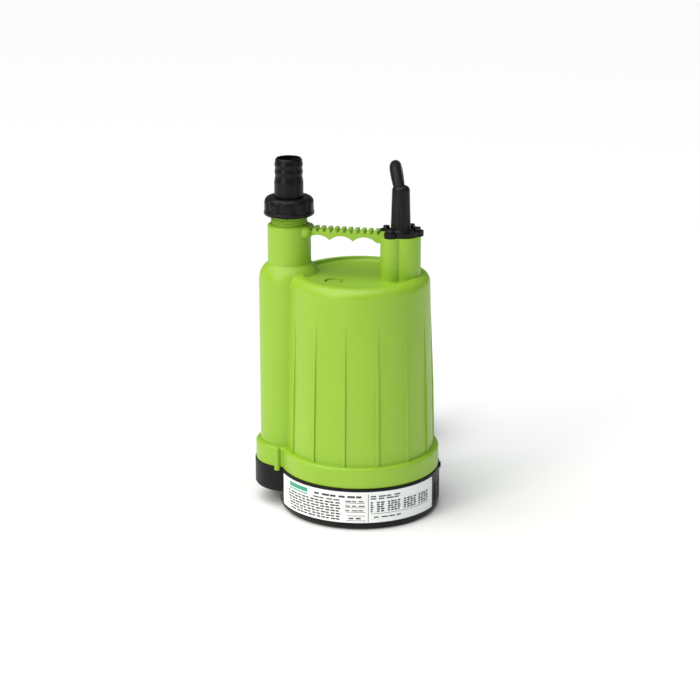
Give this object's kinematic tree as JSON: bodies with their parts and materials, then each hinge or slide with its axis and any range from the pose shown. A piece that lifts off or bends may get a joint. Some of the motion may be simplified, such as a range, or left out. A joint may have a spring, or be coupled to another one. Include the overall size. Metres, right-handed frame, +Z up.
{
  "type": "submersible sump pump",
  "caption": "Upright submersible drain pump with a ribbed round casing, side discharge column with hose tail, bridge handle, strainer base, sealed motor and cable.",
  "frame": {"origin": "on the motor axis, in the plane that the strainer base stands on", "axes": "+Z up along the motor shaft; -X towards the discharge column; -Y towards the label, the front"},
  "size_m": [0.1979, 0.3155, 0.3247],
  "materials": {
    "green_polypropylene": "satin",
    "black_polypropylene": "satin",
    "black_nylon": "satin",
    "boot_rubber": "matte",
    "cable_rubber": "matte",
    "label_film": "satin",
    "stainless_steel": "satin",
    "screw_steel": "bright",
    "blackened_steel": "blackened",
    "filled_nylon": "satin",
    "cast_aluminium": "as cast",
    "electrical_steel": "varnished",
    "bearing_steel": "ground",
    "winding_copper": "enamelled",
    "seal_ceramic": "lapped",
    "seal_carbon": "lapped",
    "seal_rubber": "matte",
    "capacitor_case": "gloss",
    "lead_insulation": "satin",
    "plated_brass": "nickel plated",
    "strap_fabric": "woven"
  },
  "bodies": {
    "casing": {"strainer_base": "black_polypropylene", "base_screws": "screw_steel", "rating_label": "label_film", "suction_cover": "filled_nylon", "cover_screws": "screw_steel", "volute_casing": "filled_nylon", "oil_casing": "cast_aluminium", "seal_seat": "seal_ceramic", "oil_seal": "seal_rubber", "bearing_housing": "cast_aluminium", "casing_o_ring": "seal_rubber", "lower_bearing_outer_race": "bearing_steel", "upper_bearing_outer_race": "bearing_steel", "motor_shell": "stainless_steel", "stator_core": "electrical_steel", "stator_windings": "winding_copper", "upper_bracket": "cast_aluminium", "run_capacitor": "capacitor_case", "thermal_protector": "black_nylon", "motor_leads": "lead_insulation", "outer_casing": "green_polypropylene", "test_plug": "green_polypropylene", "gland_plate": "black_nylon", "gland_screws": "blackened_steel", "cable_grommet": "seal_rubber", "cable_lead_in": "cable_rubber", "cable_boot": "boot_rubber", "power_cable": "cable_rubber", "cable_coil": "cable_rubber", "cable_tail": "cable_rubber", "coil_tie": "strap_fabric", "mains_plug": "boot_rubber", "plug_pins": "plated_brass"},
    "rotor": {"motor_shaft": "stainless_steel", "rotor_core": "electrical_steel", "rotor_end_rings": "cast_aluminium", "impeller": "filled_nylon", "impeller_nut": "screw_steel", "seal_ring": "seal_carbon", "seal_spring": "stainless_steel", "seal_collar": "stainless_steel", "lower_bearing_inner_race": "bearing_steel", "upper_bearing_inner_race": "bearing_steel"},
    "lower_cage": {"lower_bearing_balls": "bearing_steel"},
    "upper_cage": {"upper_bearing_balls": "bearing_steel"},
    "hose_end": {"hose_tail": "black_nylon", "hose_gasket": "seal_rubber"},
    "nut": {"union_nut": "black_nylon"}
  },
  "joints": [
    {"name": "rotor_spin", "type": "hinge", "parent": "casing", "child": "rotor", "pos_m": [0, 0, 0.1], "axis": [0, 0, 1], "continuous": true},
    {"name": "lower_cage_spin", "type": "hinge", "parent": "casing", "child": "lower_cage", "pos_m": [0, 0, 0.072], "axis": [0, 0, 1], "continuous": true},
    {"name": "upper_cage_spin", "type": "hinge", "parent": "casing", "child": "upper_cage", "pos_m": [0, 0, 0.182], "axis": [0, 0, 1], "continuous": true},
    {"name": "hose_tail_lift", "type": "slide", "parent": "casing", "child": "hose_end", "axis": [0, 0, 1], "range_m": [0, 0.01155]},
    {"name": "union_nut_turn", "type": "hinge", "parent": "hose_end", "child": "nut", "pos_m": [-0.0657, 0, 0.28], "axis": [0, 0, 1], "range_deg": [0, 1800]}
  ],
  "couplings": [
    {"joint": "lower_cage_spin", "follows": "rotor_spin", "ratio": 0.36591},
    {"joint": "upper_cage_spin", "follows": "rotor_spin", "ratio": 0.36591},
    {"joint": "hose_tail_lift", "follows": "union_nut_turn", "m_per_rad": 0.00036749}
  ]
}
